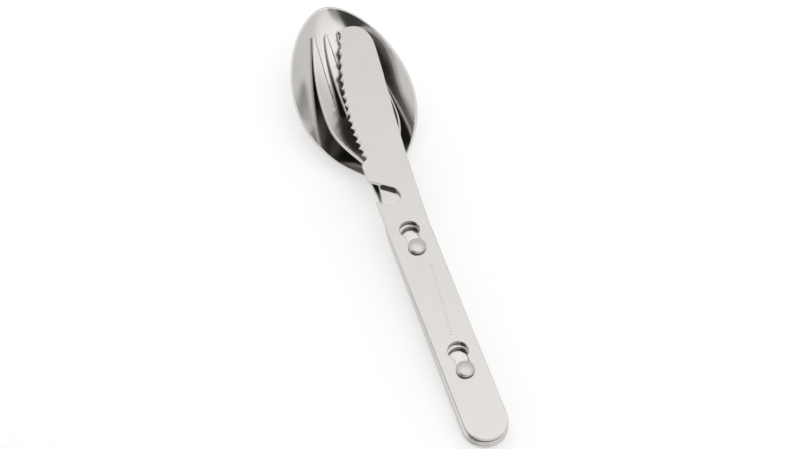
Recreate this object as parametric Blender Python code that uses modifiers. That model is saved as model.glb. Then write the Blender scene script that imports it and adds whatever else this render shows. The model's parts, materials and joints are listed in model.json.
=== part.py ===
"""Clip-together picnic cutlery: a spoon, a fork and a knife with flat strap handles, stacked on two
headed studs that stand on the spoon's handle and pass through a keyhole slot in each plate above.

The set is drawn flat, handle end at x = 0, bowl toward +X, knife edge toward +Y, underside of the
spoon's handle at z = 0. An empty then tips the whole set to the attitude in which it rests on a
table, on the bottom of the bowl and on the end of the handle.
"""

from math import atan, cos, pi, radians, sin, sqrt

import bmesh
import bpy
from mathutils import Matrix, Vector

MM = 0.001

# Plates
PLATE = 1.5 * MM                # thickness of each stamped plate
GAP = 0.3 * MM                  # air between neighbouring plates
FORK_Z = PLATE + GAP            # underside of the fork's handle
KNIFE_Z = 2.0 * (PLATE + GAP)   # underside of the knife
KNIFE_LEAN = radians(0.38)      # the knife's play on the studs, taken up toward its cutting edge

# Handles
KNIFE_HALF = 7.6 * MM           # half the width of the knife's handle
HALF_WIDTH = 8.05 * MM          # half the width of the fork's and the spoon's, a little wider all round
END_X = KNIFE_HALF - HALF_WIDTH  # their rounded ends share one centre with the knife's
HANDLE_TAPER_X = 86.3 * MM      # where fork and spoon begin to narrow toward their necks

# Studs and keyhole slots
STUD_X = (27.6 * MM, 80.0 * MM)
KNIFE_TRAVEL = 8.0 * MM         # from a stud's seat to the centre of its entry hole
FORK_TRAVEL = 6.7 * MM
SHANK_R = 2.1 * MM
HEAD_R = 3.2 * MM
HEAD_RISE = 1.3 * MM
TAIL_R = 1.5 * MM
ENTRY_R = 3.6 * MM              # entry holes, wide enough for the studs' heads
SLOT_R = SHANK_R + GAP          # half the width of its narrow part

# Spoon
SPOON_TIP_X = 194.9 * MM
BOWL_WIDE_X = 156.0 * MM
BOWL_HALF = 22.4 * MM
BOWL_BACK_X = 120.0 * MM        # where the bowl's outline leaves the neck
SPOON_NECK_X = 108.0 * MM
SPOON_NECK_HALF = 6.0 * MM
NECK_BEND_X = (99.0 * MM, 131.0 * MM)
NECK_DROP = 5.8 * MM            # how far the rim lies below the handle where the bowl begins
RIM_LIFT = 10.4 * MM            # rise of the rim from there to the tip
BOWL_START_X = 106.0 * MM
BOWL_DEEP_X = 152.0 * MM
BOWL_DEPTH = 7.3 * MM
WALL_EASE = 0.3                 # how far the bowl's side walls straighten out toward the rim
TIP_POWER = 2.8                 # how flat the floor is across near the tip, where the tines lie
DISH_TURN_X = (150.0 * MM, 180.0 * MM)   # from the one cross section to the other
BASIN_POWER = 2.7               # how late a dished utensil's floor climbs toward its tip
BOWL_POWER = 3.0                # the same for the bowl

# Fork
FORK_TIP_X = 184.8 * MM
PALM_WIDE_X = 146.8 * MM
PALM_HALF = 13.1 * MM
FORK_TIP_HALF = 7.4 * MM
FORK_NECK_X = 113.0 * MM
FORK_NECK_HALF = 4.6 * MM
FORK_START_X = 112.0 * MM
FORK_DEEP_X = 151.0 * MM
FORK_DEPTH = 5.8 * MM
FORK_TIP_DROP = 0.5 * MM        # how far the tine tips end below the top of the fork's handle
PALM_DISH = 2.2 * MM
TINE_ROOT_X = 149.6 * MM
SLOT_HALF = 1.35 * MM           # half width of the middle slot between the tines
SIDE_SLOT = (4.8 * MM, 7.8 * MM)   # the two edges of a side slot at its root
INNER_TIP = (1.85 * MM, 2.75 * MM)  # the two edges of an inner tine at its point
OUTER_TIP_EDGE = 6.6 * MM       # inner edge of an outer tine at its point

# Knife
BLADE_ROOT_X = 122.0 * MM
BLADE_TEETH = 16
TOOTH_DEPTH = 1.0 * MM
NOTCH_CENTRE = (103.9 * MM, 2.2 * MM)
NOTCH_R = 3.95 * MM
NOTCH_LEAN = radians(53.0)      # direction in which the opener notch runs out to the edge


def smooth(t):
    """Ease from 0 to 1 with level ends."""
    t = min(max(t, 0.0), 1.0)
    return t * t * (3.0 - 2.0 * t)


def bezier(p0, p1, p2, p3, count):
    """Points along a cubic curve, end point left out."""
    points = []
    for i in range(count):
        t = i / count
        a, b, c, d = (1 - t) ** 3, 3 * t * (1 - t) ** 2, 3 * t * t * (1 - t), t ** 3
        points.append((a * p0[0] + b * p1[0] + c * p2[0] + d * p3[0],
                       a * p0[1] + b * p1[1] + c * p2[1] + d * p3[1]))
    return points


def arc(centre, radius, start, stop, count):
    """Points along an arc, both ends included, angles in radians."""
    points = []
    for i in range(count + 1):
        angle = start + (stop - start) * i / count
        points.append((centre[0] + radius * cos(angle), centre[1] + radius * sin(angle)))
    return points


def basin(x, start, deep, tip, power):
    """Share of the full depth along a dished utensil: 0 at its neck, 1 at its lowest, 0 at its tip."""
    if x <= start or x >= tip:
        return 0.0
    if x <= deep:
        return smooth((x - start) / (deep - start))
    return 1.0 - ((x - deep) / (tip - deep)) ** power


def handle_end(x):
    """Half width of the rounded end of the fork's and the spoon's handle."""
    reach = KNIFE_HALF - min(x, KNIFE_HALF)
    return sqrt(max(HALF_WIDTH ** 2 - reach ** 2, 0.0))


def neck_width(x, neck_x, neck_half):
    """Half width from the straight handle to the narrowest point of the neck."""
    share = smooth((x - HANDLE_TAPER_X) / (neck_x - HANDLE_TAPER_X))
    return HALF_WIDTH + (neck_half - HALF_WIDTH) * share


# Spoon ---------------------------------------------------------------------------------------

def spoon_half(x):
    if x <= KNIFE_HALF:
        return handle_end(x)
    if x <= BOWL_BACK_X:
        return neck_width(x, SPOON_NECK_X, SPOON_NECK_HALF)
    if x <= BOWL_WIDE_X:
        t = (BOWL_WIDE_X - x) / (BOWL_WIDE_X - BOWL_BACK_X)
        return SPOON_NECK_HALF + (BOWL_HALF - SPOON_NECK_HALF) * (1.0 - t ** 2.3) ** 1.15
    t = min((x - BOWL_WIDE_X) / (SPOON_TIP_X - BOWL_WIDE_X), 1.0)
    return BOWL_HALF * (1.0 - t ** 1.8) ** 0.58


def spoon_rim(x):
    """Height of the spoon's top face along its two edges."""
    start, stop = NECK_BEND_X
    drop = NECK_DROP * smooth((x - start) / (stop - start))
    climb = min(max((x - stop) / (SPOON_TIP_X - stop), 0.0), 1.0)
    return PLATE - drop + RIM_LIFT * climb ** 1.1


def spoon_top(x, share):
    """Height of the spoon's top face at a share of the half width, -1 to 1."""
    dip = BOWL_DEPTH * basin(x, BOWL_START_X, BOWL_DEEP_X, SPOON_TIP_X, BOWL_POWER)
    start, stop = DISH_TURN_X
    turn = smooth((x - start) / (stop - start))
    out = abs(share)
    wall = out * out * (1.0 + WALL_EASE * (1.0 - out))
    return spoon_rim(x) - dip * (1.0 - wall - (out ** TIP_POWER - wall) * turn)


# Fork ----------------------------------------------------------------------------------------

def fork_half(x):
    if x <= KNIFE_HALF:
        return handle_end(x)
    if x <= FORK_NECK_X:
        return neck_width(x, FORK_NECK_X, FORK_NECK_HALF)
    if x <= PALM_WIDE_X:
        t = (PALM_WIDE_X - x) / (PALM_WIDE_X - FORK_NECK_X)
        swell = 0.5 * (1.0 + cos(pi * t ** 1.15))
        return FORK_NECK_HALF + (PALM_HALF - FORK_NECK_HALF) * swell
    t = (x - PALM_WIDE_X) / (FORK_TIP_X - PALM_WIDE_X)
    return PALM_HALF + (FORK_TIP_HALF - PALM_HALF) * t ** 2.1


def fork_top(x, share):
    top = FORK_Z + PLATE
    fall = FORK_DEPTH * basin(x, FORK_START_X, FORK_DEEP_X, FORK_TIP_X, BASIN_POWER)
    run = smooth((x - FORK_DEEP_X) / (FORK_TIP_X - FORK_DEEP_X))
    dish = PALM_DISH * smooth((x - FORK_START_X) / (PALM_WIDE_X - FORK_START_X))
    dish *= 1.0 - 0.6 * run
    return top - fall - FORK_TIP_DROP * run + dish * (abs(share) ** 2 - 0.35)


def toward_tip(x):
    """0 along the tines and rising to 1 over their last few millimetres."""
    t = (FORK_TIP_X - x) / (FORK_TIP_X - TINE_ROOT_X)
    return (1.0 - min(max(t, 0.0), 1.0)) ** 4.7


def middle_slot(x):
    """Half width of the middle slot."""
    return SLOT_HALF + (INNER_TIP[0] - SLOT_HALF) * toward_tip(x)


def side_slot(x):
    """The two edges of a side slot."""
    t = min(max((FORK_TIP_X - x) / (FORK_TIP_X - TINE_ROOT_X), 0.0), 1.0)
    near = SIDE_SLOT[0] + (INNER_TIP[1] - SIDE_SLOT[0]) * toward_tip(x)
    return near, OUTER_TIP_EDGE + (SIDE_SLOT[1] - OUTER_TIP_EDGE) * t ** 1.2


# Knife ---------------------------------------------------------------------------------------

def toothed(points_at, teeth):
    """Scalloped edge along a curve: pointed teeth with round hollows between them."""
    points = []
    for tooth in range(teeth):
        for step, hollow in ((0.0, 0.0), (0.2, 0.72), (0.5, 1.0), (0.8, 0.72)):
            t = (tooth + step) / teeth
            here, ahead = Vector(points_at(t)), Vector(points_at(t + 0.001))
            along = (ahead - here).normalized()
            inward = Vector((along.y, -along.x))
            points.append(tuple(here + inward * TOOTH_DEPTH * hollow))
    return points


def edge_at(t):
    """Cutting edge from the blade's root to its tip."""
    p0, p1 = (BLADE_ROOT_X, 5.8 * MM), (138.0 * MM, 7.4 * MM)
    p2, p3 = (158.0 * MM, 5.4 * MM), (182.4 * MM, -2.6 * MM)
    a, b, c, d = (1 - t) ** 3, 3 * t * (1 - t) ** 2, 3 * t * t * (1 - t), t ** 3
    return (a * p0[0] + b * p1[0] + c * p2[0] + d * p3[0],
            a * p0[1] + b * p1[1] + c * p2[1] + d * p3[1])


def knife_outline():
    """Outline of the knife, clockwise from the handle's rounded end along the cutting side."""
    half = KNIFE_HALF
    points = arc((half, 0.0), half, radians(270.0), radians(90.0), 18)
    out = Vector((cos(NOTCH_LEAN), sin(NOTCH_LEAN)))
    side = Vector((out.y, -out.x))
    centre = Vector(NOTCH_CENTRE)
    lower, upper = centre - side * NOTCH_R, centre + side * NOTCH_R
    points.append(tuple(lower + out * ((half - lower.y) / out.y)))
    start = NOTCH_LEAN + pi / 2
    points += arc(NOTCH_CENTRE, NOTCH_R, start, start + pi, 12)
    points.append(tuple(upper + out * ((half - upper.y) / out.y)))
    points.append((BLADE_ROOT_X - 2.0 * MM, half))
    points += toothed(edge_at, BLADE_TEETH)
    tip, shoulder = (182.4 * MM, -2.6 * MM), (172.0 * MM, -14.2 * MM)
    points += bezier(tip, (186.0 * MM, -9.4 * MM), (182.0 * MM, -14.6 * MM), shoulder, 12)
    points += bezier(shoulder, (150.0 * MM, -12.6 * MM), (128.0 * MM, -9.0 * MM),
                     (84.0 * MM, -half), 12)
    points.append((84.0 * MM, -half))
    return points


def keyhole(stud_x, travel):
    """Keyhole slot: narrow seat around the stud, opening into the entry hole on the blade side."""
    entry = (stud_x + travel, 0.0)
    wide = pi - atan(SLOT_R / sqrt(ENTRY_R ** 2 - SLOT_R ** 2))
    points = arc(entry, ENTRY_R, -wide, wide, 20)
    points += arc((stud_x, 0.0), SLOT_R, pi / 2, 3 * pi / 2, 10)
    return points


# Building ------------------------------------------------------------------------------------

def clear_scene():
    for old in list(bpy.data.objects):
        bpy.data.objects.remove(old, do_unlink=True)


def collection(name):
    group = bpy.data.collections.new(name)
    bpy.context.scene.collection.children.link(group)
    return group


def steel(name, colour, roughness):
    material = bpy.data.materials.new(name)
    material.use_nodes = True
    shader = material.node_tree.nodes["Principled BSDF"]
    shader.inputs["Base Color"].default_value = (*colour, 1.0)
    shader.inputs["Metallic"].default_value = 1.0
    shader.inputs["Roughness"].default_value = roughness
    return material


def plate_curve(name, outlines, thickness, group):
    """Flat plate from closed outlines, the first outside and the others as holes in it."""
    curve = bpy.data.curves.new(name, "CURVE")
    curve.dimensions = "2D"
    curve.fill_mode = "BOTH"
    curve.extrude = thickness / 2
    for outline in outlines:
        spline = curve.splines.new("POLY")
        spline.points.add(len(outline) - 1)
        for point, (x, y) in zip(spline.points, outline):
            point.co = (x, y, 0.0, 1.0)
        spline.use_cyclic_u = True
    plate = bpy.data.objects.new(name, curve)
    group.objects.link(plate)
    return plate


def to_mesh(source, group):
    """Swap a curve object for a mesh with welded caps."""
    bpy.context.view_layer.update()
    evaluated = source.evaluated_get(bpy.context.evaluated_depsgraph_get())
    mesh = bpy.data.meshes.new_from_object(evaluated)
    work = bmesh.new()
    work.from_mesh(mesh)
    bmesh.ops.remove_doubles(work, verts=work.verts, dist=0.00001)
    work.to_mesh(mesh)
    work.free()
    name = source.name
    matrix = source.matrix_world.copy()
    bpy.data.objects.remove(source)
    swapped = bpy.data.objects.new(name, mesh)
    swapped.matrix_world = matrix
    group.objects.link(swapped)
    return swapped


def stations(breaks):
    """Lengthwise stations: close together where the outline turns, far apart on straight runs."""
    xs = [KNIFE_HALF - HALF_WIDTH * cos(pi / 2 * i / 7) for i in range(1, 8)]
    for (start, stop, count) in breaks:
        xs += [start + (stop - start) * (i + 1) / count for i in range(count)]
    return xs


def loft(name, xs, half_at, top_at, across, tip_x, pointed, group):
    """Open sheet lofted through cross sections whose width, dish and height change along X."""
    work = bmesh.new()
    shares = [-cos(pi * j / across) for j in range(across + 1)]
    rows = []
    for x in xs:
        row = [work.verts.new((x, share * half_at(x), top_at(x, share))) for share in shares]
        rows.append(row)
    start = work.verts.new((END_X, 0.0, top_at(END_X, 0.0)))
    for j in range(across):
        work.faces.new((start, rows[0][j], rows[0][j + 1]))
        for near, far in zip(rows, rows[1:]):
            work.faces.new((near[j], far[j], far[j + 1], near[j + 1]))
    if pointed:
        tip = work.verts.new((tip_x, 0.0, top_at(tip_x, 0.0)))
        for j in range(across):
            work.faces.new((rows[-1][j + 1], rows[-1][j], tip))
    mesh = bpy.data.meshes.new(name)
    work.to_mesh(mesh)
    work.free()
    sheet = bpy.data.objects.new(name, mesh)
    group.objects.link(sheet)
    return sheet


def thicken(sheet, thickness):
    solid = sheet.modifiers.new("Thickness", "SOLIDIFY")
    solid.thickness = thickness
    solid.offset = -1.0
    solid.use_even_offset = True


def cut(target, cutter):
    cutter.hide_render = True
    cutter.display_type = "WIRE"
    boolean = target.modifiers.new("Cut " + cutter.name, "BOOLEAN")
    boolean.operation = "DIFFERENCE"
    boolean.object = cutter


def post(name, x, radius, low, high, group):
    bpy.ops.mesh.primitive_cylinder_add(vertices=24, radius=radius, depth=high - low,
                                        location=(x, 0.0, (low + high) / 2))
    cylinder = bpy.context.object
    cylinder.name = name
    for old in list(cylinder.users_collection):
        old.objects.unlink(cylinder)
    group.objects.link(cylinder)
    return cylinder


def turned(name, profile, steps, group):
    """Solid of revolution about Z from a profile that runs from the top down its outer side."""
    mesh = bpy.data.meshes.new(name)
    mesh.from_pydata([(r, 0.0, z) for r, z in profile], [(i, i + 1) for i in range(len(profile) - 1)], [])
    body = bpy.data.objects.new(name, mesh)
    group.objects.link(body)
    screw = body.modifiers.new("Turn", "SCREW")
    screw.steps = steps
    screw.render_steps = steps
    screw.use_merge_vertices = True
    screw.merge_threshold = 0.00001
    screw.use_smooth_shade = True
    return body


clear_scene()
parts = collection("picnic_cutlery")
cutters = collection("cutters")

spoon_xs = stations([(KNIFE_HALF, HANDLE_TAPER_X, 3), (HANDLE_TAPER_X, BOWL_START_X, 4),
                     (BOWL_START_X, BOWL_WIDE_X, 12), (BOWL_WIDE_X, 182.0 * MM, 6),
                     (182.0 * MM, 190.0 * MM, 3), (190.0 * MM, 193.2 * MM, 2),
                     (193.2 * MM, 194.4 * MM, 1)])
spoon = loft("spoon", spoon_xs, spoon_half, spoon_top, 15, SPOON_TIP_X, True, parts)
thicken(spoon, PLATE)
for number, stud_x in enumerate(STUD_X):
    hole = post("stud_hole_%d" % number, stud_x, TAIL_R + GAP, -2.0 * MM, 4.0 * MM, cutters)
    cut(spoon, hole)

fork_xs = stations([(KNIFE_HALF, HANDLE_TAPER_X, 3), (HANDLE_TAPER_X, FORK_START_X, 5),
                    (FORK_START_X, PALM_WIDE_X, 8), (PALM_WIDE_X, FORK_TIP_X, 9)])
fork = loft("fork", fork_xs, fork_half, fork_top, 9, FORK_TIP_X, False, parts)
thicken(fork, PLATE)
for number, stud_x in enumerate(STUD_X):
    outline = keyhole(stud_x, FORK_TRAVEL)
    slot = to_mesh(plate_curve("fork_keyhole_%d" % number, [outline], 6.0 * MM, cutters), cutters)
    slot.location.z = FORK_Z + PLATE / 2
    cut(fork, slot)
slot_xs = [TINE_ROOT_X + (FORK_TIP_X + MM - TINE_ROOT_X) * (i / 10) ** 0.7 for i in range(11)]
outlines = []
middle = [(x, middle_slot(x)) for x in slot_xs]
middle = arc((TINE_ROOT_X, 0.0), SLOT_HALF, 1.5 * pi, 0.5 * pi, 8)[:-1] + middle
outlines.append(middle + [(x, -y) for x, y in reversed(middle[8:])][:-1])
root_y, root_r = (SIDE_SLOT[0] + SIDE_SLOT[1]) / 2, (SIDE_SLOT[1] - SIDE_SLOT[0]) / 2
side = arc((TINE_ROOT_X, root_y), root_r, 1.5 * pi, 0.5 * pi, 8)[:-1]
side += [(x, side_slot(x)[1]) for x in slot_xs]
side += [(x, side_slot(x)[0]) for x in reversed(slot_xs)][:-1]
outlines.append(side)
outlines.append([(x, -y) for x, y in side])
for number, outline in enumerate(outlines):
    gap = to_mesh(plate_curve("tine_gap_%d" % number, [outline], 30.0 * MM, cutters), cutters)
    cut(fork, gap)

holes = [keyhole(stud_x, KNIFE_TRAVEL) for stud_x in STUD_X]
knife = to_mesh(plate_curve("knife", [knife_outline(), *holes], PLATE, parts), parts)
pivot = Vector(((STUD_X[0] + STUD_X[1]) / 2, 0.0, 0.0))
turn = Matrix.Translation(pivot) @ Matrix.Rotation(KNIFE_LEAN, 4, "Z") @ Matrix.Translation(-pivot)
knife.data.transform(turn)
knife.location.z = KNIFE_Z + PLATE / 2

head_low = KNIFE_Z + PLATE + GAP
stud_profile = [(0.0, head_low + HEAD_RISE)]
for step in range(1, 5):
    swing = radians(15.0 * step)
    stud_profile.append((0.86 * HEAD_R * sin(swing) / sin(radians(60.0)),
                         head_low + HEAD_RISE - 0.35 * MM * (1.0 - cos(swing)) / 0.5))
stud_profile += [(HEAD_R, head_low + 0.55 * MM), (HEAD_R, head_low), (SHANK_R, head_low),
                 (SHANK_R, PLATE + GAP), (TAIL_R, PLATE + GAP), (TAIL_R, 0.1 * MM),
                 (0.0, 0.1 * MM)]
studs = []
for name, stud_x in (("rear_stud", STUD_X[0]), ("front_stud", STUD_X[1])):
    stud = turned(name, stud_profile, 24, parts)
    stud.location.x = stud_x
    studs.append(stud)

# Rest attitude: the line under the handle's end and the bottom of the bowl becomes level.
bpy.context.view_layer.update()
graph = bpy.context.evaluated_depsgraph_get()
shell = [v.co.copy() for v in spoon.evaluated_get(graph).data.vertices]
tilt = min(atan(v.z / (v.x - END_X)) for v in shell if v.x > BOWL_START_X)
lean = Matrix.Rotation(tilt, 4, "Y")
corners = [lean @ v for v in shell]
base_z = min(v.z for v in corners)
corners += [lean @ knife.matrix_world @ v.co for v in knife.data.vertices]
centre_x = (min(v.x for v in corners) + max(v.x for v in corners)) / 2

rest = bpy.data.objects.new("rest", None)
parts.objects.link(rest)
rest.rotation_euler.y = tilt
rest.location = (-centre_x, 0.0, -base_z)
for piece in (spoon, fork, knife, *studs, *cutters.objects):
    piece.parent = rest

SATIN = steel("satin_steel", (0.62, 0.60, 0.57), 0.24)
POLISHED = steel("polished_steel", (0.66, 0.64, 0.61), 0.14)
STUD_STEEL = steel("stud_steel", (0.58, 0.56, 0.54), 0.28)
for piece, material in ((spoon, POLISHED), (fork, POLISHED), (knife, SATIN),
                        (studs[0], STUD_STEEL), (studs[1], STUD_STEEL)):
    piece.data.materials.append(material)
for piece in (spoon, fork):
    piece.data.shade_smooth()
    piece.data.set_sharp_from_angle(angle=radians(35.0))
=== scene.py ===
"""Looks of the clip-together picnic cutlery: spoon, fork and knife in stamped stainless steel, stacked on
two headed studs. Each utensil is cut as a flat blank with rounded edges and then pressed to its shape."""

import json
from math import cos, pi, radians, sin, sqrt

import bmesh
import bpy
import numpy as np
from mathutils import Matrix, Vector


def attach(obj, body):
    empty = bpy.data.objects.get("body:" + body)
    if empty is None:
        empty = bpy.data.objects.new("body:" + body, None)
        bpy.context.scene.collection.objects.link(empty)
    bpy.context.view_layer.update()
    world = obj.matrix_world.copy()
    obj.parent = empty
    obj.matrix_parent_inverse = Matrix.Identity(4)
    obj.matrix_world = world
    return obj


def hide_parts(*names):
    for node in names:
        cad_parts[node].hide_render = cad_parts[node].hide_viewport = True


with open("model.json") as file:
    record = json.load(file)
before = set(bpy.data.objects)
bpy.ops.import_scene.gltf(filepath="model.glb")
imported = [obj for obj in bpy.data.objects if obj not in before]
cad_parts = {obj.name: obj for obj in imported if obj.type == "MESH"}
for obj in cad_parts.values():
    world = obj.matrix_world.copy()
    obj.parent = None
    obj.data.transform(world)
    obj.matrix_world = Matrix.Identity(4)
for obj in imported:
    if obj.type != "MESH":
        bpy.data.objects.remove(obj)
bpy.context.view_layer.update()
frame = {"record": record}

MM = 0.001

# The utensils' frame: handle end at x = 0, bowl toward +X, cutting edge toward +Y, underside of the
# spoon's handle at z = 0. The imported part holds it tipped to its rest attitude.
record = frame["record"]
slide_axis = Vector(record["behaviour"]["joints"][0]["axis"])
mount = Vector(record["mounts"][0]["pos_m"])
MOUNT_X = 54.0 * MM             # where on the handle's underside that mount lies
along = -slide_axis.normalized()
TO_ROW = Matrix((
    (along.x, 0.0, -along.z, mount.x - along.x * MOUNT_X),
    (0.0, 1.0, 0.0, 0.0),
    (along.z, 0.0, along.x, mount.z - along.z * MOUNT_X),
    (0.0, 0.0, 0.0, 1.0),
))

# Plates
PLATE = 1.5 * MM
GAP = 0.3 * MM
FORK_Z = PLATE + GAP
KNIFE_Z = 2.0 * (PLATE + GAP)
KNIFE_TOP = KNIFE_Z + PLATE
KNIFE_LEAN = radians(0.38)
EDGE_ROUND = 0.45 * MM          # tumbled edges of the fork and the spoon
KNIFE_ROUND = 0.18 * MM         # crisper edges of the knife
RIM_THINNING = 0.55             # how much of its thickness the bowl loses toward its rim

# Handles
KNIFE_HALF = 7.6 * MM
HALF_WIDTH = 8.05 * MM           # fork and spoon, a little wider all round than the knife
END_X = KNIFE_HALF - HALF_WIDTH
HANDLE_TAPER_X = 86.3 * MM

# Studs and keyhole slots
STUD_X = (27.6 * MM, 80.0 * MM)
KNIFE_TRAVEL = 8.0 * MM
FORK_TRAVEL = 6.7 * MM
SHANK_R = 2.1 * MM
HEAD_R = 3.2 * MM
HEAD_RISE = 1.3 * MM
BRIM_RISE = 0.62 * MM           # height of the head's upright brim
DOME_FALL = 0.5 * MM            # how much the dome falls toward its brim
DOME_SHARE = 0.90               # share of the head's radius that the dome covers
TAIL_R = 1.5 * MM
TAIL_RECESS = 0.1 * MM          # the tail ends this far inside the spoon's underside
TURNED_SIDES = 96
ENTRY_R = 3.6 * MM
SLOT_R = SHANK_R + GAP

# Spoon
SPOON_TIP_X = 194.9 * MM
BOWL_WIDE_X = 156.0 * MM
BOWL_HALF = 22.4 * MM
BOWL_BACK_X = 120.0 * MM
SPOON_NECK_X = 108.0 * MM
SPOON_NECK_HALF = 6.0 * MM
NECK_BEND_X = (99.0 * MM, 131.0 * MM)
NECK_DROP = 5.8 * MM
RIM_LIFT = 10.4 * MM
BOWL_START_X = 106.0 * MM
BOWL_DEEP_X = 152.0 * MM
BOWL_DEPTH = 7.3 * MM
WALL_EASE = 0.3
TIP_POWER = 2.8
DISH_TURN_X = (150.0 * MM, 180.0 * MM)
BASIN_POWER = 2.7
BOWL_POWER = 3.0

# Fork
FORK_TIP_X = 184.8 * MM
PALM_WIDE_X = 146.8 * MM
PALM_HALF = 13.1 * MM
FORK_TIP_HALF = 7.4 * MM
FORK_NECK_X = 113.0 * MM
FORK_NECK_HALF = 4.6 * MM
FORK_START_X = 112.0 * MM
FORK_DEEP_X = 151.0 * MM
FORK_DEPTH = 5.8 * MM
FORK_TIP_DROP = 0.5 * MM
PALM_DISH = 2.2 * MM
TINE_ROOT_X = 149.6 * MM
SLOT_HALF = 1.35 * MM
SIDE_SLOT = (4.8 * MM, 7.8 * MM)
INNER_TIP = (1.85 * MM, 2.75 * MM)
OUTER_TIP_EDGE = 6.6 * MM

# Knife
BLADE_ROOT = (122.0 * MM, 5.8 * MM)          # where the toothed edge starts
BLADE_TIP = (182.4 * MM, -2.6 * MM)          # where it ends
BLADE_SHOULDER = (172.0 * MM, -14.2 * MM)    # where the rounded tip meets the back
BLADE_BACK_X = 84.0 * MM        # where the back leaves the straight handle
BLADE_HEEL = 2.0 * MM           # plain edge behind the first tooth
EDGE_PULL = ((138.0 * MM, 7.4 * MM), (158.0 * MM, 5.4 * MM))
TIP_PULL = ((186.0 * MM, -9.4 * MM), (182.0 * MM, -14.6 * MM))
BACK_PULL = ((150.0 * MM, -12.6 * MM), (128.0 * MM, -9.0 * MM))
BLADE_TEETH = 16
TOOTH_DEPTH = 1.0 * MM
GRIND_FLARE = 0.50 * MM         # how far each ground hollow widens toward the top face
GRIND_FLOOR = 0.55 * MM         # what the grinding leaves of the plate at a tooth
NOTCH_CENTRE = (103.9 * MM, 2.2 * MM)
NOTCH_R = 3.95 * MM
NOTCH_LEAN = radians(53.0)

# Row of etched bars on the knife's handle, where a maker would mark it
BARS_X = (42.1 * MM, 72.6 * MM)
BARS_Y = (-0.1 * MM, -2.5 * MM)
BAR_COUNT = 24
BAR_HALF_LENGTH = 0.55 * MM


# Shapes shared with the working model ----------------------------------------------------------

def smooth(t):
    """Ease from 0 to 1 with level ends."""
    t = np.clip(t, 0.0, 1.0)
    return t * t * (3.0 - 2.0 * t)


def basin(x, start, deep, tip, power):
    """Share of the full depth along a dished utensil: 0 at its neck, 1 at its lowest, 0 at its tip."""
    falling = smooth((x - start) / (deep - start))
    rising = 1.0 - np.clip((x - deep) / (tip - deep), 0.0, 1.0) ** power
    return np.where(x <= deep, falling, rising)


def handle_end(x):
    """Half width of the rounded end of the fork's and the spoon's handle."""
    reach = KNIFE_HALF - np.clip(x, END_X, KNIFE_HALF)
    return np.sqrt(np.maximum(HALF_WIDTH ** 2 - reach ** 2, 0.0))


def neck_width(x, neck_x, neck_half):
    """Half width from the straight handle to the narrowest point of the neck."""
    return HALF_WIDTH + (neck_half - HALF_WIDTH) * smooth((x - HANDLE_TAPER_X) / (neck_x - HANDLE_TAPER_X))


def spoon_half(x):
    behind = np.clip((BOWL_WIDE_X - x) / (BOWL_WIDE_X - BOWL_BACK_X), 0.0, 1.0)
    ahead = np.clip((x - BOWL_WIDE_X) / (SPOON_TIP_X - BOWL_WIDE_X), 0.0, 1.0)
    back = SPOON_NECK_HALF + (BOWL_HALF - SPOON_NECK_HALF) * (1.0 - behind ** 2.3) ** 1.15
    front = BOWL_HALF * (1.0 - ahead ** 1.8) ** 0.58
    bowl = np.where(x <= BOWL_WIDE_X, back, front)
    strap = np.where(x <= KNIFE_HALF, handle_end(x), neck_width(x, SPOON_NECK_X, SPOON_NECK_HALF))
    return np.where(x <= BOWL_BACK_X, strap, bowl)


def spoon_rim(x):
    """Height of the spoon's top face along its two edges."""
    start, stop = NECK_BEND_X
    climb = np.clip((x - stop) / (SPOON_TIP_X - stop), 0.0, 1.0)
    return PLATE - NECK_DROP * smooth((x - start) / (stop - start)) + RIM_LIFT * climb ** 1.1


def spoon_top(x, y):
    share = np.clip(np.abs(y) / np.maximum(spoon_half(x), 0.05 * MM), 0.0, 1.2)
    dip = BOWL_DEPTH * basin(x, BOWL_START_X, BOWL_DEEP_X, SPOON_TIP_X, BOWL_POWER)
    start, stop = DISH_TURN_X
    turn = smooth((x - start) / (stop - start))
    wall = share * share * (1.0 + WALL_EASE * (1.0 - share))
    return spoon_rim(x) - dip * (1.0 - wall - (share ** TIP_POWER - wall) * turn)


def fork_half(x):
    before = np.clip((PALM_WIDE_X - x) / (PALM_WIDE_X - FORK_NECK_X), 0.0, 1.0)
    after = np.clip((x - PALM_WIDE_X) / (FORK_TIP_X - PALM_WIDE_X), 0.0, 1.0)
    palm = FORK_NECK_HALF + (PALM_HALF - FORK_NECK_HALF) * 0.5 * (1.0 + np.cos(pi * before ** 1.15))
    tines = PALM_HALF + (FORK_TIP_HALF - PALM_HALF) * after ** 2.1
    strap = np.where(x <= KNIFE_HALF, handle_end(x), neck_width(x, FORK_NECK_X, FORK_NECK_HALF))
    return np.where(x <= FORK_NECK_X, strap, np.where(x <= PALM_WIDE_X, palm, tines))


def fork_top(x, y):
    share = np.clip(np.abs(y) / fork_half(np.maximum(x, MM)), 0.0, 1.2)
    fall = FORK_DEPTH * basin(x, FORK_START_X, FORK_DEEP_X, FORK_TIP_X, BASIN_POWER)
    run = smooth((x - FORK_DEEP_X) / (FORK_TIP_X - FORK_DEEP_X))
    dish = PALM_DISH * smooth((x - FORK_START_X) / (PALM_WIDE_X - FORK_START_X)) * (1.0 - 0.6 * run)
    return FORK_Z + PLATE - fall - FORK_TIP_DROP * run + dish * (share ** 2 - 0.35)


def toward_tip(x):
    """0 along the tines and rising to 1 over their last few millimetres."""
    t = (FORK_TIP_X - x) / (FORK_TIP_X - TINE_ROOT_X)
    return (1.0 - min(max(t, 0.0), 1.0)) ** 4.7


def middle_slot(x):
    return SLOT_HALF + (INNER_TIP[0] - SLOT_HALF) * toward_tip(x)


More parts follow.
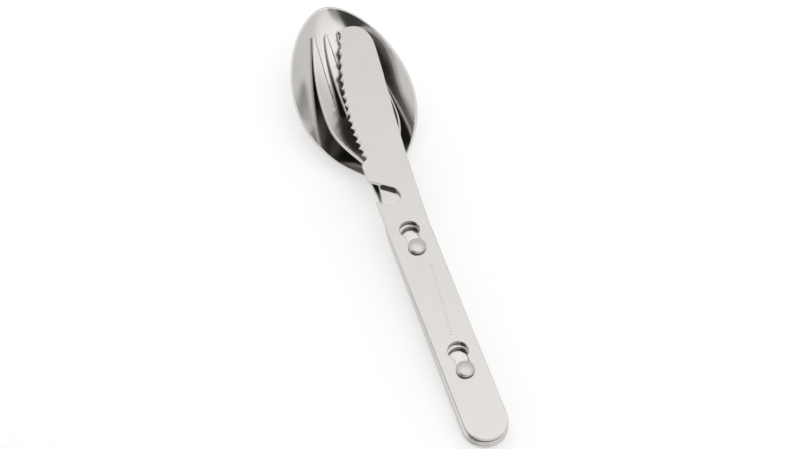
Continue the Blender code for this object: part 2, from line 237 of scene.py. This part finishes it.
def side_slot(x):
    t = min(max((FORK_TIP_X - x) / (FORK_TIP_X - TINE_ROOT_X), 0.0), 1.0)
    near = SIDE_SLOT[0] + (INNER_TIP[1] - SIDE_SLOT[0]) * toward_tip(x)
    return near, OUTER_TIP_EDGE + (SIDE_SLOT[1] - OUTER_TIP_EDGE) * t ** 1.2


# Outlines ----------------------------------------------------------------------------------------

def arc(centre, radius, start, stop, count):
    """Points along an arc, both ends included, angles in radians."""
    angles = np.linspace(start, stop, count + 1)
    return [(centre[0] + radius * cos(a), centre[1] + radius * sin(a)) for a in angles]


def cubic(p0, p1, p2, p3, t):
    """Place on a cubic curve at t, from 0 to 1."""
    p0, p1, p2, p3 = (np.array(p) for p in (p0, p1, p2, p3))
    return (1 - t) ** 3 * p0 + 3 * t * (1 - t) ** 2 * p1 + 3 * t * t * (1 - t) * p2 + t ** 3 * p3


def bezier(p0, p1, p2, p3, count):
    """Points along a cubic curve, end point left out."""
    return [tuple(p) for p in cubic(p0, p1, p2, p3, np.arange(count)[:, None] / count)]


def evenly(points, spacing):
    """The same line with points a set distance apart, both ends kept."""
    points = np.array(points)
    steps = np.hypot(*np.diff(points, axis=0).T)
    run = np.concatenate(([0.0], np.cumsum(steps)))
    at = np.linspace(0.0, run[-1], max(int(run[-1] / spacing), 2) + 1)
    return [(np.interp(s, run, points[:, 0]), np.interp(s, run, points[:, 1])) for s in at]


def edge_line(half_at, start, stop, spacing):
    """One long edge of a blank, from start to stop along X."""
    xs = np.concatenate((np.linspace(start, stop - 2.0 * MM, 500), stop - np.geomspace(2.0 * MM, 1e-7, 300)))
    return evenly([(x, float(half_at(np.array(x)))) for x in xs], spacing)


def keyhole(stud_x, travel):
    """Keyhole slot: narrow seat around the stud, opening into the entry hole on the blade side."""
    entry = (stud_x + travel, 0.0)
    wide = pi - np.arctan(SLOT_R / sqrt(ENTRY_R ** 2 - SLOT_R ** 2))
    return arc(entry, ENTRY_R, -wide, wide, 56) + arc((stud_x, 0.0), SLOT_R, pi / 2, 3 * pi / 2, 28)


def circle(x, radius, count):
    return arc((x, 0.0), radius, 0.0, 2 * pi * (1 - 1 / count), count - 1)


def spoon_outline():
    side = edge_line(spoon_half, KNIFE_HALF, SPOON_TIP_X, 0.6 * MM)
    end = arc((KNIFE_HALF, 0.0), HALF_WIDTH, 1.5 * pi, 0.5 * pi, 48)
    return end[:-1] + side[:-1] + [(SPOON_TIP_X, 0.0)] + [(x, -y) for x, y in reversed(side[1:-1])]


def fork_outline():
    """Outer edge with three slots between four tines whose points are blunt and round."""
    side = edge_line(fork_half, KNIFE_HALF, FORK_TIP_X, 0.6 * MM)
    end = arc((KNIFE_HALF, 0.0), HALF_WIDTH, 1.5 * pi, 0.5 * pi, 48)
    slot_xs = np.linspace(TINE_ROOT_X, FORK_TIP_X, 56)

    def side_gap(sign):
        root_y, root_r = sum(SIDE_SLOT) / 2, (SIDE_SLOT[1] - SIDE_SLOT[0]) / 2
        down = [(x, side_slot(x)[1]) for x in reversed(slot_xs[1:])]
        root = arc((TINE_ROOT_X, root_y), root_r, 0.5 * pi, 1.5 * pi, 14)
        up = [(x, side_slot(x)[0]) for x in slot_xs[1:]]
        return [(x, sign * y) for x, y in down + root + up]

    half = side.pop()[1]
    middle = [(x, middle_slot(x)) for x in reversed(slot_xs[1:])]
    middle += arc((TINE_ROOT_X, 0.0), SLOT_HALF, 0.5 * pi, 1.5 * pi, 14)
    middle += [(x, -middle_slot(x)) for x in slot_xs[1:]]

    def point(y_from, y_to):
        """Rounded end of a tine between its two edges."""
        centre, radius = (y_from + y_to) / 2, abs(y_to - y_from) / 2
        turn = np.linspace(0.0, pi, 9)[1:-1]
        way = 1.0 if y_from > y_to else -1.0
        return [(FORK_TIP_X + radius * 0.9 * sin(a), centre + way * radius * cos(a)) for a in turn]

    outer, inner = side_slot(FORK_TIP_X)[1], side_slot(FORK_TIP_X)[0]
    mid = middle_slot(FORK_TIP_X)
    points = end[:-1] + side + [(FORK_TIP_X, half)] + point(half, outer)
    points += side_gap(1.0) + point(inner, mid) + middle + point(-mid, -inner)
    points += list(reversed(side_gap(-1.0))) + point(-outer, -half)
    points += [(FORK_TIP_X, -half)] + [(x, -y) for x, y in reversed(side[1:])]
    return points


def edge_at(t):
    """Cutting edge from the blade's root to its tip."""
    return cubic(BLADE_ROOT, *EDGE_PULL, BLADE_TIP, t)


def toothed(count, steps):
    """Scalloped edge: pointed teeth with round hollows between them, and the hollows' centres."""
    points, hollows = [], []
    for tooth in range(count):
        start, stop = edge_at(tooth / count), edge_at((tooth + 1) / count)
        chord = stop - start
        width = np.linalg.norm(chord)
        radius = (width ** 2 / 4 + TOOTH_DEPTH ** 2) / (2 * TOOTH_DEPTH)
        along = chord / width
        outward = np.array((-along[1], along[0]))
        centre = (start + stop) / 2 + outward * (radius - TOOTH_DEPTH)
        reach = np.arcsin(width / 2 / radius)
        for step in range(steps):
            angle = -reach + 2 * reach * step / steps
            points.append(tuple(centre + radius * (along * sin(angle) - outward * cos(angle))))
        hollows.append((centre, radius))
    return points, hollows


def knife_outline():
    """Outer edge with the opener notch and the teeth, and the hollows between the teeth."""
    half = KNIFE_HALF
    points = arc((half, 0.0), half, 1.5 * pi, 0.5 * pi, 48)
    out = np.array((cos(NOTCH_LEAN), sin(NOTCH_LEAN)))
    side = np.array((out[1], -out[0]))
    centre = np.array(NOTCH_CENTRE)
    lower, upper = centre - side * NOTCH_R, centre + side * NOTCH_R
    points.append(tuple(lower + out * ((half - lower[1]) / out[1])))
    start = NOTCH_LEAN + pi / 2
    points += arc(NOTCH_CENTRE, NOTCH_R, start, start + pi, 32)
    points.append(tuple(upper + out * ((half - upper[1]) / out[1])))
    points.append((BLADE_ROOT[0] - BLADE_HEEL, half))
    teeth, hollows = toothed(BLADE_TEETH, 10)
    points += teeth
    back = (BLADE_BACK_X, -half)
    points += bezier(BLADE_TIP, *TIP_PULL, BLADE_SHOULDER, 40)
    points += bezier(BLADE_SHOULDER, *BACK_PULL, back, 60)
    points.append(back)
    return points, hollows


# Blanks and pressing ------------------------------------------------------------------------------

def blank(name, outlines, thickness, edge):
    """Flat plate about z = 0 with rounded edges, from a closed outline and the holes in it."""
    curve = bpy.data.curves.new(name, "CURVE")
    curve.dimensions = "2D"
    curve.fill_mode = "BOTH"
    curve.extrude = thickness / 2 - edge
    curve.bevel_depth = edge
    curve.bevel_resolution = 3
    curve.offset = -edge
    for outline in outlines:
        spline = curve.splines.new("POLY")
        spline.points.add(len(outline) - 1)
        for point, (x, y) in zip(spline.points, outline):
            point.co = (x, y, 0.0, 1.0)
        spline.use_cyclic_u = True
    source = bpy.data.objects.new(name, curve)
    bpy.context.scene.collection.objects.link(source)
    bpy.context.view_layer.update()
    mesh = bpy.data.meshes.new_from_object(source.evaluated_get(bpy.context.evaluated_depsgraph_get()))
    bpy.data.objects.remove(source)
    work = bmesh.new()
    work.from_mesh(mesh)
    bmesh.ops.remove_doubles(work, verts=work.verts, dist=0.000002)
    bmesh.ops.recalc_face_normals(work, faces=work.faces)
    return work


def grid(work, xs, ys):
    """Cut the plate's two faces into even cells and join what the flat fill left inside a cell."""
    for normal, values in (((1.0, 0.0, 0.0), xs), ((0.0, 1.0, 0.0), ys)):
        for value in values:
            geom = work.verts[:] + work.edges[:] + work.faces[:]
            spot = Vector(normal) * value
            bmesh.ops.bisect_plane(work, geom=geom, plane_co=spot, plane_no=normal, dist=1e-7)
    flat = {f for f in work.faces if abs(f.normal.z) > 0.9999}
    loose = []
    for e in work.edges:
        a, b = e.verts[0].co, e.verts[1].co
        slanted = abs(a.x - b.x) > 1e-6 and abs(a.y - b.y) > 1e-6
        if slanted and len(e.link_faces) == 2 and all(f in flat for f in e.link_faces):
            loose.append(e)
    bmesh.ops.dissolve_edges(work, edges=loose, use_verts=False, use_face_split=False)


def remember_sheet(mesh, flat):
    """Keep each point's place in the flat sheet, which the steel's grain follows."""
    sheet = mesh.attributes.new("sheet", "FLOAT_VECTOR", "POINT")
    sheet.data.foreach_set("vector", np.ascontiguousarray(flat).ravel())


def grind(work, hollows):
    """Grind a flared hollow into the top face at each gap between two teeth."""
    mesh = bpy.data.meshes.new("ground")
    work.to_mesh(mesh)
    work.free()
    body = bpy.data.objects.new("ground", mesh)
    bpy.context.scene.collection.objects.link(body)
    low, high = -PLATE / 2 + GRIND_FLOOR, PLATE / 2 + 0.2 * MM
    wheels = []
    for centre, radius in hollows:
        bpy.ops.mesh.primitive_cone_add(vertices=64, radius1=radius, radius2=radius + GRIND_FLARE,
                                        depth=high - low, location=(*centre, (low + high) / 2))
        wheels.append(bpy.context.object)
        cut = body.modifiers.new("Grind", "BOOLEAN")
        cut.operation = "DIFFERENCE"
        cut.object = wheels[-1]
    bpy.context.view_layer.update()
    result = bpy.data.meshes.new_from_object(body.evaluated_get(bpy.context.evaluated_depsgraph_get()))
    for used in (body, *wheels):
        bpy.data.objects.remove(used)
    work = bmesh.new()
    work.from_mesh(result)
    bmesh.ops.remove_doubles(work, verts=work.verts, dist=0.000002)
    return work


def flat_piece(work, name, lift):
    """A plate that stays flat, at its height on the stack."""
    mesh = bpy.data.meshes.new(name)
    work.to_mesh(mesh)
    work.free()
    flat = np.zeros(len(mesh.vertices) * 3)
    mesh.vertices.foreach_get("co", flat)
    remember_sheet(mesh, flat)
    mesh.transform(TO_ROW @ Matrix.Translation((0.0, 0.0, lift)))
    mesh.shade_smooth()
    mesh.set_sharp_from_angle(angle=radians(40.0))
    body = bpy.data.objects.new(name, mesh)
    bpy.context.scene.collection.objects.link(body)
    even = body.modifiers.new("Even shading", "WEIGHTED_NORMAL")
    even.keep_sharp = True
    even.weight = 100
    return body


def turned(name, profile, x):
    """Lathe-turned piece about Z from a profile that runs from its top down its side to its foot."""
    work = bmesh.new()
    rings = []
    for radius, height in profile:
        if radius == 0.0:
            rings.append([work.verts.new((x, 0.0, height))])
        else:
            ring = arc((x, 0.0), radius, 0.0, 2 * pi, TURNED_SIDES)[:-1]
            rings.append([work.verts.new((px, py, height)) for px, py in ring])
    for upper, lower in zip(rings, rings[1:]):
        for i in range(TURNED_SIDES):
            j = (i + 1) % TURNED_SIDES
            if len(upper) == 1:
                work.faces.new((upper[0], lower[i], lower[j]))
            elif len(lower) == 1:
                work.faces.new((upper[j], upper[i], lower[0]))
            else:
                work.faces.new((upper[i], lower[i], lower[j], upper[j]))
    bmesh.ops.recalc_face_normals(work, faces=work.faces)
    return flat_piece(work, name, 0.0)


def rounded(corner, before, after, radius):
    """Four points round a profile's corner, between the neighbouring points before and after it."""
    corner, before, after = (np.array(p) for p in (corner, before, after))
    enter = (before - corner) / np.linalg.norm(before - corner)
    leave = (after - corner) / np.linalg.norm(after - corner)
    start, stop = corner + enter * radius, corner + leave * radius
    return [tuple((1 - t) ** 2 * start + 2 * t * (1 - t) * corner + t * t * stop)
            for t in (0.0, 0.3, 0.65, 1.0)]


def press(work, name, top_at, thinned_at):
    """Bend a flat plate so that its upper face follows top_at(x, y), and turn its normals with it.

    thinned_at(x, y) is the share of its thickness that the plate keeps there."""
    mesh = bpy.data.meshes.new(name)
    work.normal_update()
    work.to_mesh(mesh)
    work.free()
    count = len(mesh.vertices)
    flat = np.zeros(count * 3)
    mesh.vertices.foreach_get("co", flat)
    flat = flat.reshape(-1, 3)
    normals = np.zeros(count * 3)
    mesh.vertices.foreach_get("normal", normals)
    normals = normals.reshape(-1, 3)
    x, y, h = flat[:, 0], flat[:, 1], flat[:, 2]
    step = 0.05 * MM
    slope_x = (top_at(x + step, y) - top_at(x - step, y)) / (2 * step)
    slope_y = (top_at(x, y + step) - top_at(x, y - step)) / (2 * step)
    up = np.stack((-slope_x, -slope_y, np.ones(count)), 1)
    up /= np.linalg.norm(up, axis=1)[:, None]
    tangent = np.stack((np.ones(count), np.zeros(count), slope_x), 1)
    tangent /= np.linalg.norm(tangent, axis=1)[:, None]
    across = np.cross(up, tangent)
    base = np.stack((x, y, top_at(x, y)), 1)
    placed = base + ((h - PLATE / 2) * thinned_at(x, y))[:, None] * up
    turned_normals = normals[:, :1] * tangent + normals[:, 1:2] * across + normals[:, 2:] * up
    remember_sheet(mesh, flat)
    mesh.vertices.foreach_set("co", placed.ravel())
    mesh.transform(TO_ROW)
    mesh.shade_smooth()
    rotate = np.array(TO_ROW.to_3x3())
    mesh.normals_split_custom_set_from_vertices([tuple(n) for n in turned_normals @ rotate.T])
    body = bpy.data.objects.new(name, mesh)
    bpy.context.scene.collection.objects.link(body)
    return body


def show(piece, body, node, material):
    """Hang a finished piece on its body, in place of the working solid."""
    piece.data.materials.clear()
    piece.data.materials.append(material)
    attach(piece, body)
    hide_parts(node)


# Materials -----------------------------------------------------------------------------------------

# Noise cells to the metre along, across and through the sheet
BRUSHED_CELLS = (60.0, 3600.0, 3600.0)
CLOUD_CELLS = (70.0, 110.0, 110.0)
SMUDGE_CELLS = (320.0, 260.0, 260.0)
# Two sets of hairline scratches: cells, direction, the level they follow and their width
HAIRLINES = (((30.0, 900.0, 400.0), radians(17.0), 0.52, 0.006),
             ((26.0, 800.0, 400.0), radians(-9.0), 0.47, 0.005))
TONE_SWING = 0.025              # how far the polish clouds lighten and darken the steel
LEAST_ROUGHNESS = 0.02
BAR_INK = (0.30, 0.31, 0.34, 1.0)
BAR_STRENGTH = 0.16
BAR_ROUGHNESS = 0.12
BAR_DUTY = 0.42                 # share of each step that a bar fills

def steel(name, colour, roughness, grain, scratches, marked=False):
    """Stainless steel: fine grain along the sheet, cloudy polish, faint hairline scratches.

    grain is the height of the brushed lines in metres and scratches the strength of the hairlines."""
    material = bpy.data.materials.new(name)
    material.use_nodes = True
    nodes, links = material.node_tree.nodes, material.node_tree.links
    shader = nodes["Principled BSDF"]
    shader.inputs["Metallic"].default_value = 1.0

    def math(operation, first, second=0.0, third=0.0):
        step = nodes.new("ShaderNodeMath")
        step.operation = operation
        for socket, value in zip(step.inputs, (first, second, third)):
            if isinstance(value, (int, float)):
                socket.default_value = value
            else:
                links.new(value, socket)
        return step.outputs[0]

    def noise(scale, turn, detail):
        place = nodes.new("ShaderNodeMapping")
        place.inputs["Rotation"].default_value = (0.0, 0.0, turn)
        place.inputs["Scale"].default_value = scale
        links.new(sheet.outputs["Vector"], place.inputs["Vector"])
        texture = nodes.new("ShaderNodeTexNoise")
        texture.inputs["Scale"].default_value = 1.0
        texture.inputs["Detail"].default_value = detail
        texture.inputs["Roughness"].default_value = 0.6
        links.new(place.outputs["Vector"], texture.inputs["Vector"])
        return texture.outputs["Fac"]

    def lines(value, edge, width):
        """1 on the thin lines where a noise crosses edge, fading over width."""
        away = math("ABSOLUTE", math("SUBTRACT", value, edge))
        return math("MAXIMUM", math("SUBTRACT", 1.0, math("DIVIDE", away, width)), 0.0)

    sheet = nodes.new("ShaderNodeAttribute")
    sheet.attribute_name = "sheet"
    brushed = noise(BRUSHED_CELLS, 0.0, 3.0)
    clouds = noise(CLOUD_CELLS, radians(25.0), 2.0)
    smudges = noise(SMUDGE_CELLS, radians(-40.0), 4.0)
    hairs = math("ADD", *(lines(noise(cells, turn, 0.0), level, width)
                          for cells, turn, level, width in HAIRLINES))
    tone = nodes.new("ShaderNodeMix")
    tone.data_type = "RGBA"
    links.new(clouds, tone.inputs["Factor"])
    tone.inputs["A"].default_value = (*(channel * (1.0 - TONE_SWING) for channel in colour), 1.0)
    tone.inputs["B"].default_value = (*(channel * (1.0 + TONE_SWING) for channel in colour), 1.0)
    shade = tone.outputs["Result"]
    rough = math("ADD", roughness, math("MULTIPLY", math("SUBTRACT", brushed, 0.5), roughness * 0.5))
    rough = math("ADD", rough, math("MULTIPLY", math("SUBTRACT", smudges, 0.45), roughness * 0.45))
    rough = math("ADD", rough, math("MULTIPLY", hairs, scratches))
    if marked:
        split = nodes.new("ShaderNodeSeparateXYZ")
        links.new(sheet.outputs["Vector"], split.inputs["Vector"])
        x, y = split.outputs["X"], split.outputs["Y"]
        share = math("DIVIDE", math("SUBTRACT", x, BARS_X[0]), BARS_X[1] - BARS_X[0])
        middle = math("MULTIPLY_ADD", share, BARS_Y[1] - BARS_Y[0], BARS_Y[0])
        inside = math("LESS_THAN", math("ABSOLUTE", math("SUBTRACT", y, middle)), BAR_HALF_LENGTH)
        off_middle = math("ABSOLUTE", math("SUBTRACT", share, 0.5))
        inside = math("MULTIPLY", inside, math("LESS_THAN", off_middle, 0.5))
        stroke = math("LESS_THAN", math("FRACT", math("MULTIPLY", share, BAR_COUNT)), BAR_DUTY)
        bars = math("MULTIPLY", inside, stroke)
        etched = nodes.new("ShaderNodeMix")
        etched.data_type = "RGBA"
        links.new(math("MULTIPLY", bars, BAR_STRENGTH), etched.inputs["Factor"])
        links.new(shade, etched.inputs["A"])
        etched.inputs["B"].default_value = BAR_INK
        shade = etched.outputs["Result"]
        rough = math("ADD", rough, math("MULTIPLY", bars, BAR_ROUGHNESS))
    links.new(shade, shader.inputs["Base Color"])
    links.new(math("MAXIMUM", rough, LEAST_ROUGHNESS), shader.inputs["Roughness"])
    relief = nodes.new("ShaderNodeBump")
    relief.inputs["Strength"].default_value = 1.0
    relief.inputs["Distance"].default_value = grain
    links.new(math("ADD", brushed, math("MULTIPLY", hairs, -0.6)), relief.inputs["Height"])
    links.new(relief.outputs["Normal"], shader.inputs["Normal"])
    return material


POLISHED = steel("polished_steel", (0.672, 0.655, 0.637), 0.16, 0.7e-6, 0.04)
SATIN = steel("satin_steel", (0.665, 0.648, 0.63), 0.22, 1.0e-6, 0.05, marked=True)
TURNED = steel("turned_steel", (0.62, 0.605, 0.585), 0.26, 1.5e-6, 0.05)


def full_thickness(x, y):
    return np.ones_like(x)


def bowl_thickness(x, y):
    """The pressed bowl thins toward its rim."""
    share = np.abs(y) / np.maximum(spoon_half(x), 0.05 * MM)
    front = np.clip((x - BOWL_DEEP_X) / (SPOON_TIP_X - BOWL_DEEP_X), 0.0, 1.0)
    outward = smooth((np.maximum(share, front) - 0.5) / 0.5)
    return 1.0 - RIM_THINNING * outward * smooth((x - BOWL_START_X) / (18.0 * MM))


# Spoon
spoon_blank = blank("spoon_shell", [spoon_outline()] + [circle(x, TAIL_R + 0.1 * MM, 32) for x in STUD_X],
                    PLATE, EDGE_ROUND)
grid(spoon_blank, np.arange(97.0, 195.0, 1.0) * MM, np.arange(-22.0, 22.5, 1.0) * MM)
spoon = press(spoon_blank, "spoon_shell", spoon_top, bowl_thickness)
show(spoon, "spoon", "spoon", POLISHED)

# Fork
fork_holes = [keyhole(x, FORK_TRAVEL) for x in STUD_X]
fork_blank = blank("fork_plate", [fork_outline()] + fork_holes, PLATE, EDGE_ROUND)
grid(fork_blank, np.arange(103.0, 185.0, 1.0) * MM, np.arange(-13.5, 13.6, 1.0) * MM)
fork = press(fork_blank, "fork_plate", fork_top, full_thickness)
show(fork, "fork", "fork", POLISHED)

# Knife
outline, hollows = knife_outline()
knife_blank = blank("knife_plate", [outline] + [keyhole(x, KNIFE_TRAVEL) for x in STUD_X], PLATE, KNIFE_ROUND)
pivot = Vector((sum(STUD_X) / 2, 0.0, 0.0))
turn = Matrix.Translation(pivot) @ Matrix.Rotation(KNIFE_LEAN, 4, "Z") @ Matrix.Translation(-pivot)
knife_blank = grind(knife_blank, hollows)
knife_blank.transform(turn)
knife = flat_piece(knife_blank, "knife_plate", KNIFE_Z + PLATE / 2)
show(knife, "knife", "knife", SATIN)

# Studs
head_low = KNIFE_TOP + GAP
crown = head_low + HEAD_RISE
brim = head_low + BRIM_RISE
dome = [(HEAD_R * DOME_SHARE * i / 8, crown - DOME_FALL * (i / 8) ** 2.2) for i in range(9)]
profile = dome[:-1] + rounded((HEAD_R, brim), dome[-1], (HEAD_R, head_low), 0.3 * MM)
profile += rounded((HEAD_R, head_low), (HEAD_R, brim), (SHANK_R, head_low), 0.12 * MM)
profile += [(SHANK_R, head_low), (SHANK_R, PLATE + GAP), (TAIL_R, PLATE + GAP)]
profile += [(TAIL_R, TAIL_RECESS), (0.0, TAIL_RECESS)]
for node, stud_x in (("rear_stud", STUD_X[0]), ("front_stud", STUD_X[1])):
    stud = turned(node + "_turned", profile, stud_x)
    show(stud, "spoon", node, TURNED)

# Studio --------------------------------------------------------------------------------------------

FLOOR_DROP = 0.1 * MM           # the smooth bowl reaches a little lower than the faceted working solid
bpy.ops.mesh.primitive_plane_add(size=6.0, location=(0.0, 0.0, -FLOOR_DROP))
floor = bpy.context.object
floor.name = "floor"
paper = bpy.data.materials.new("paper")
paper.use_nodes = True
sheet_shader = paper.node_tree.nodes["Principled BSDF"]
sheet_shader.inputs["Base Color"].default_value = (0.55, 0.55, 0.55, 1.0)
sheet_shader.inputs["Roughness"].default_value = 0.9
sheet_shader.inputs["Emission Color"].default_value = (1.0, 1.0, 1.0, 1.0)
sheet_shader.inputs["Emission Strength"].default_value = 0.45
floor.data.materials.append(paper)

world = bpy.data.worlds.new("studio")
bpy.context.scene.world = world
world.use_nodes = True
sky_nodes, sky_links = world.node_tree.nodes, world.node_tree.links
toward = sky_nodes.new("ShaderNodeTexCoord")
height = sky_nodes.new("ShaderNodeSeparateXYZ")
sky_links.new(toward.outputs["Generated"], height.inputs["Vector"])
glow = sky_nodes.new("ShaderNodeMapRange")
glow.interpolation_type = "SMOOTHSTEP"
glow.inputs["From Min"].default_value = 0.70
glow.inputs["From Max"].default_value = 0.99
glow.inputs["To Min"].default_value = 0.84
glow.inputs["To Max"].default_value = 1.20
sky_links.new(height.outputs["Z"], glow.inputs["Value"])
sky_links.new(glow.outputs["Result"], sky_nodes["Background"].inputs["Strength"])
sky_nodes["Background"].inputs["Color"].default_value = (1.0, 1.0, 1.0, 1.0)


CARD_DISTANCE = 1.0


def card(name, turn, height, width, tall, shade):
    """Flat card standing around the set, facing it, as seen from the set's middle."""
    bpy.ops.mesh.primitive_plane_add(size=1.0)
    sheet = bpy.context.object
    sheet.name = name
    direction = Vector((cos(height) * cos(turn), cos(height) * sin(turn), sin(height)))
    sheet.scale = (width, tall, 1.0)
    sheet.rotation_euler = direction.to_track_quat("Z", "Y").to_euler()
    sheet.location = direction * CARD_DISTANCE
    stock = bpy.data.materials.new(name)
    stock.use_nodes = True
    surface = stock.node_tree.nodes["Principled BSDF"]
    surface.inputs["Base Color"].default_value = (shade, shade, shade, 1.0)
    surface.inputs["Roughness"].default_value = 1.0
    surface.inputs["Specular IOR Level"].default_value = 0.0
    sheet.data.materials.append(stock)


card("dark_card", radians(124.0), radians(47.0), 0.60, 0.86, 0.09)
card("grey_card", radians(170.0), radians(58.0), 0.34, 0.38, 0.52)
card("small_card", radians(-64.0), radians(28.0), 0.16, 0.12, 0.38)

# Camera --------------------------------------------------------------------------------------------

VIEW_DOWN = radians(56.0)       # the camera's angle above the handles' plane
VIEW_TURN = radians(-17.885)    # its heading, from +X toward -Y
VIEW_DISTANCE = 708.6 * MM
VIEW_TARGET = Vector((91.02 * MM, 2.80 * MM, KNIFE_TOP))
LENS = 89.64                    # focal length in millimetres, on a 36 mm wide sensor
forward = Vector((cos(VIEW_DOWN) * cos(VIEW_TURN), cos(VIEW_DOWN) * sin(VIEW_TURN), -sin(VIEW_DOWN)))
right = forward.cross(Vector((0.0, 0.0, 1.0))).normalized()
up = right.cross(forward)
place = Matrix.Identity(4)
for column, direction in enumerate((right, up, -forward, VIEW_TARGET - forward * VIEW_DISTANCE)):
    for row in range(3):
        place[row][column] = direction[row]
lens = bpy.data.cameras.new("camera")
lens.lens = LENS
lens.sensor_width = 36.0
lens.clip_start = 0.01
lens.clip_end = 20.0
camera = bpy.data.objects.new("camera", lens)
bpy.context.scene.collection.objects.link(camera)
camera.matrix_world = TO_ROW @ place
bpy.context.scene.camera = camera
bpy.context.scene.view_settings.view_transform = "Standard"
bpy.context.scene.view_settings.exposure = 0.145
bpy.context.scene.view_settings.gamma = 0.8
